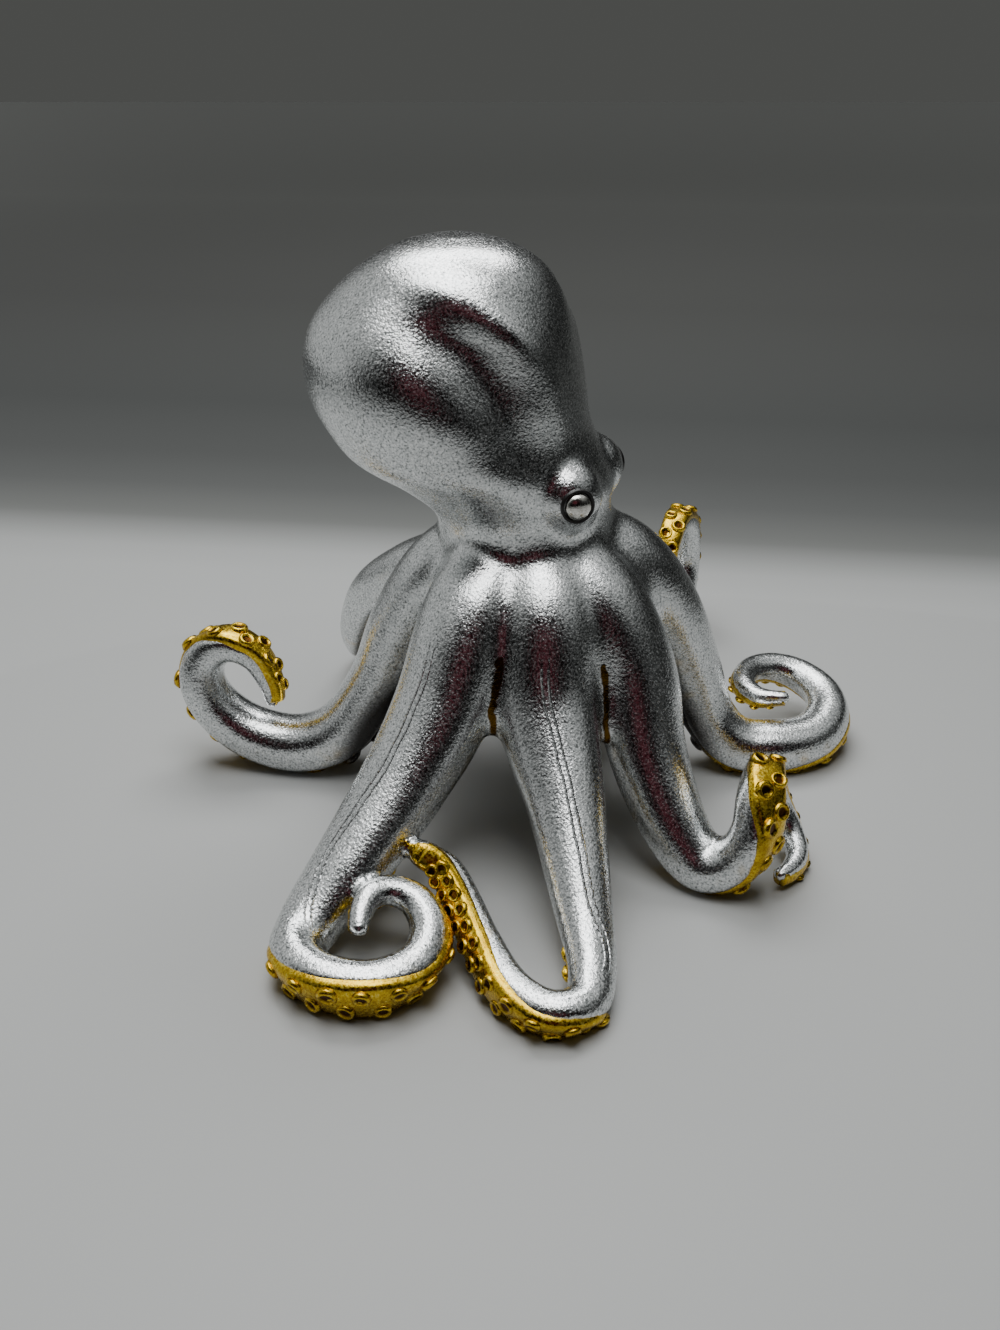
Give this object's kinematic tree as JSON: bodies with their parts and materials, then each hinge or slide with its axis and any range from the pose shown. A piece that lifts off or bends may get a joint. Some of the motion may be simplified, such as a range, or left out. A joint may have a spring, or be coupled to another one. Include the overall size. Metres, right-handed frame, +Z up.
{
  "type": "octopus figurine",
  "caption": "Cast tabletop octopus ornament standing on curled arms, leafed silver with gold sucker undersides.",
  "frame": {"origin": "centre of the outline's box, on the surface that the arms stand on", "axes": "+Z up; -Y towards the side that the picture shows; +X towards the side that the face turns to"},
  "size_m": [0.224, 0.2412, 0.1675],
  "materials": {
    "silver_leaf": "hand-laid imitation silver leaf, glossy with a fine grain",
    "gold_leaf": "gold leaf with a brown wash in the recesses",
    "eye_polish": "polished",
    "rim_black": "black lacquer"
  },
  "bodies": {
    "root": {"mantle_head": "silver_leaf", "arm_1": "silver_leaf", "sucker_strip_1": "gold_leaf", "arm_2": "silver_leaf", "sucker_strip_2": "gold_leaf", "arm_3": "silver_leaf", "sucker_strip_3": "gold_leaf", "arm_4": "silver_leaf", "sucker_strip_4": "gold_leaf", "arm_5": "silver_leaf", "sucker_strip_5": "gold_leaf", "arm_6": "silver_leaf", "sucker_strip_6": "gold_leaf", "arm_7": "silver_leaf", "sucker_strip_7": "gold_leaf", "arm_8": "silver_leaf", "sucker_strip_8": "gold_leaf", "eye_right": "eye_polish", "eye_rim_right": "rim_black", "eye_left": "eye_polish", "eye_rim_left": "rim_black"}
  },
  "joints": []
}
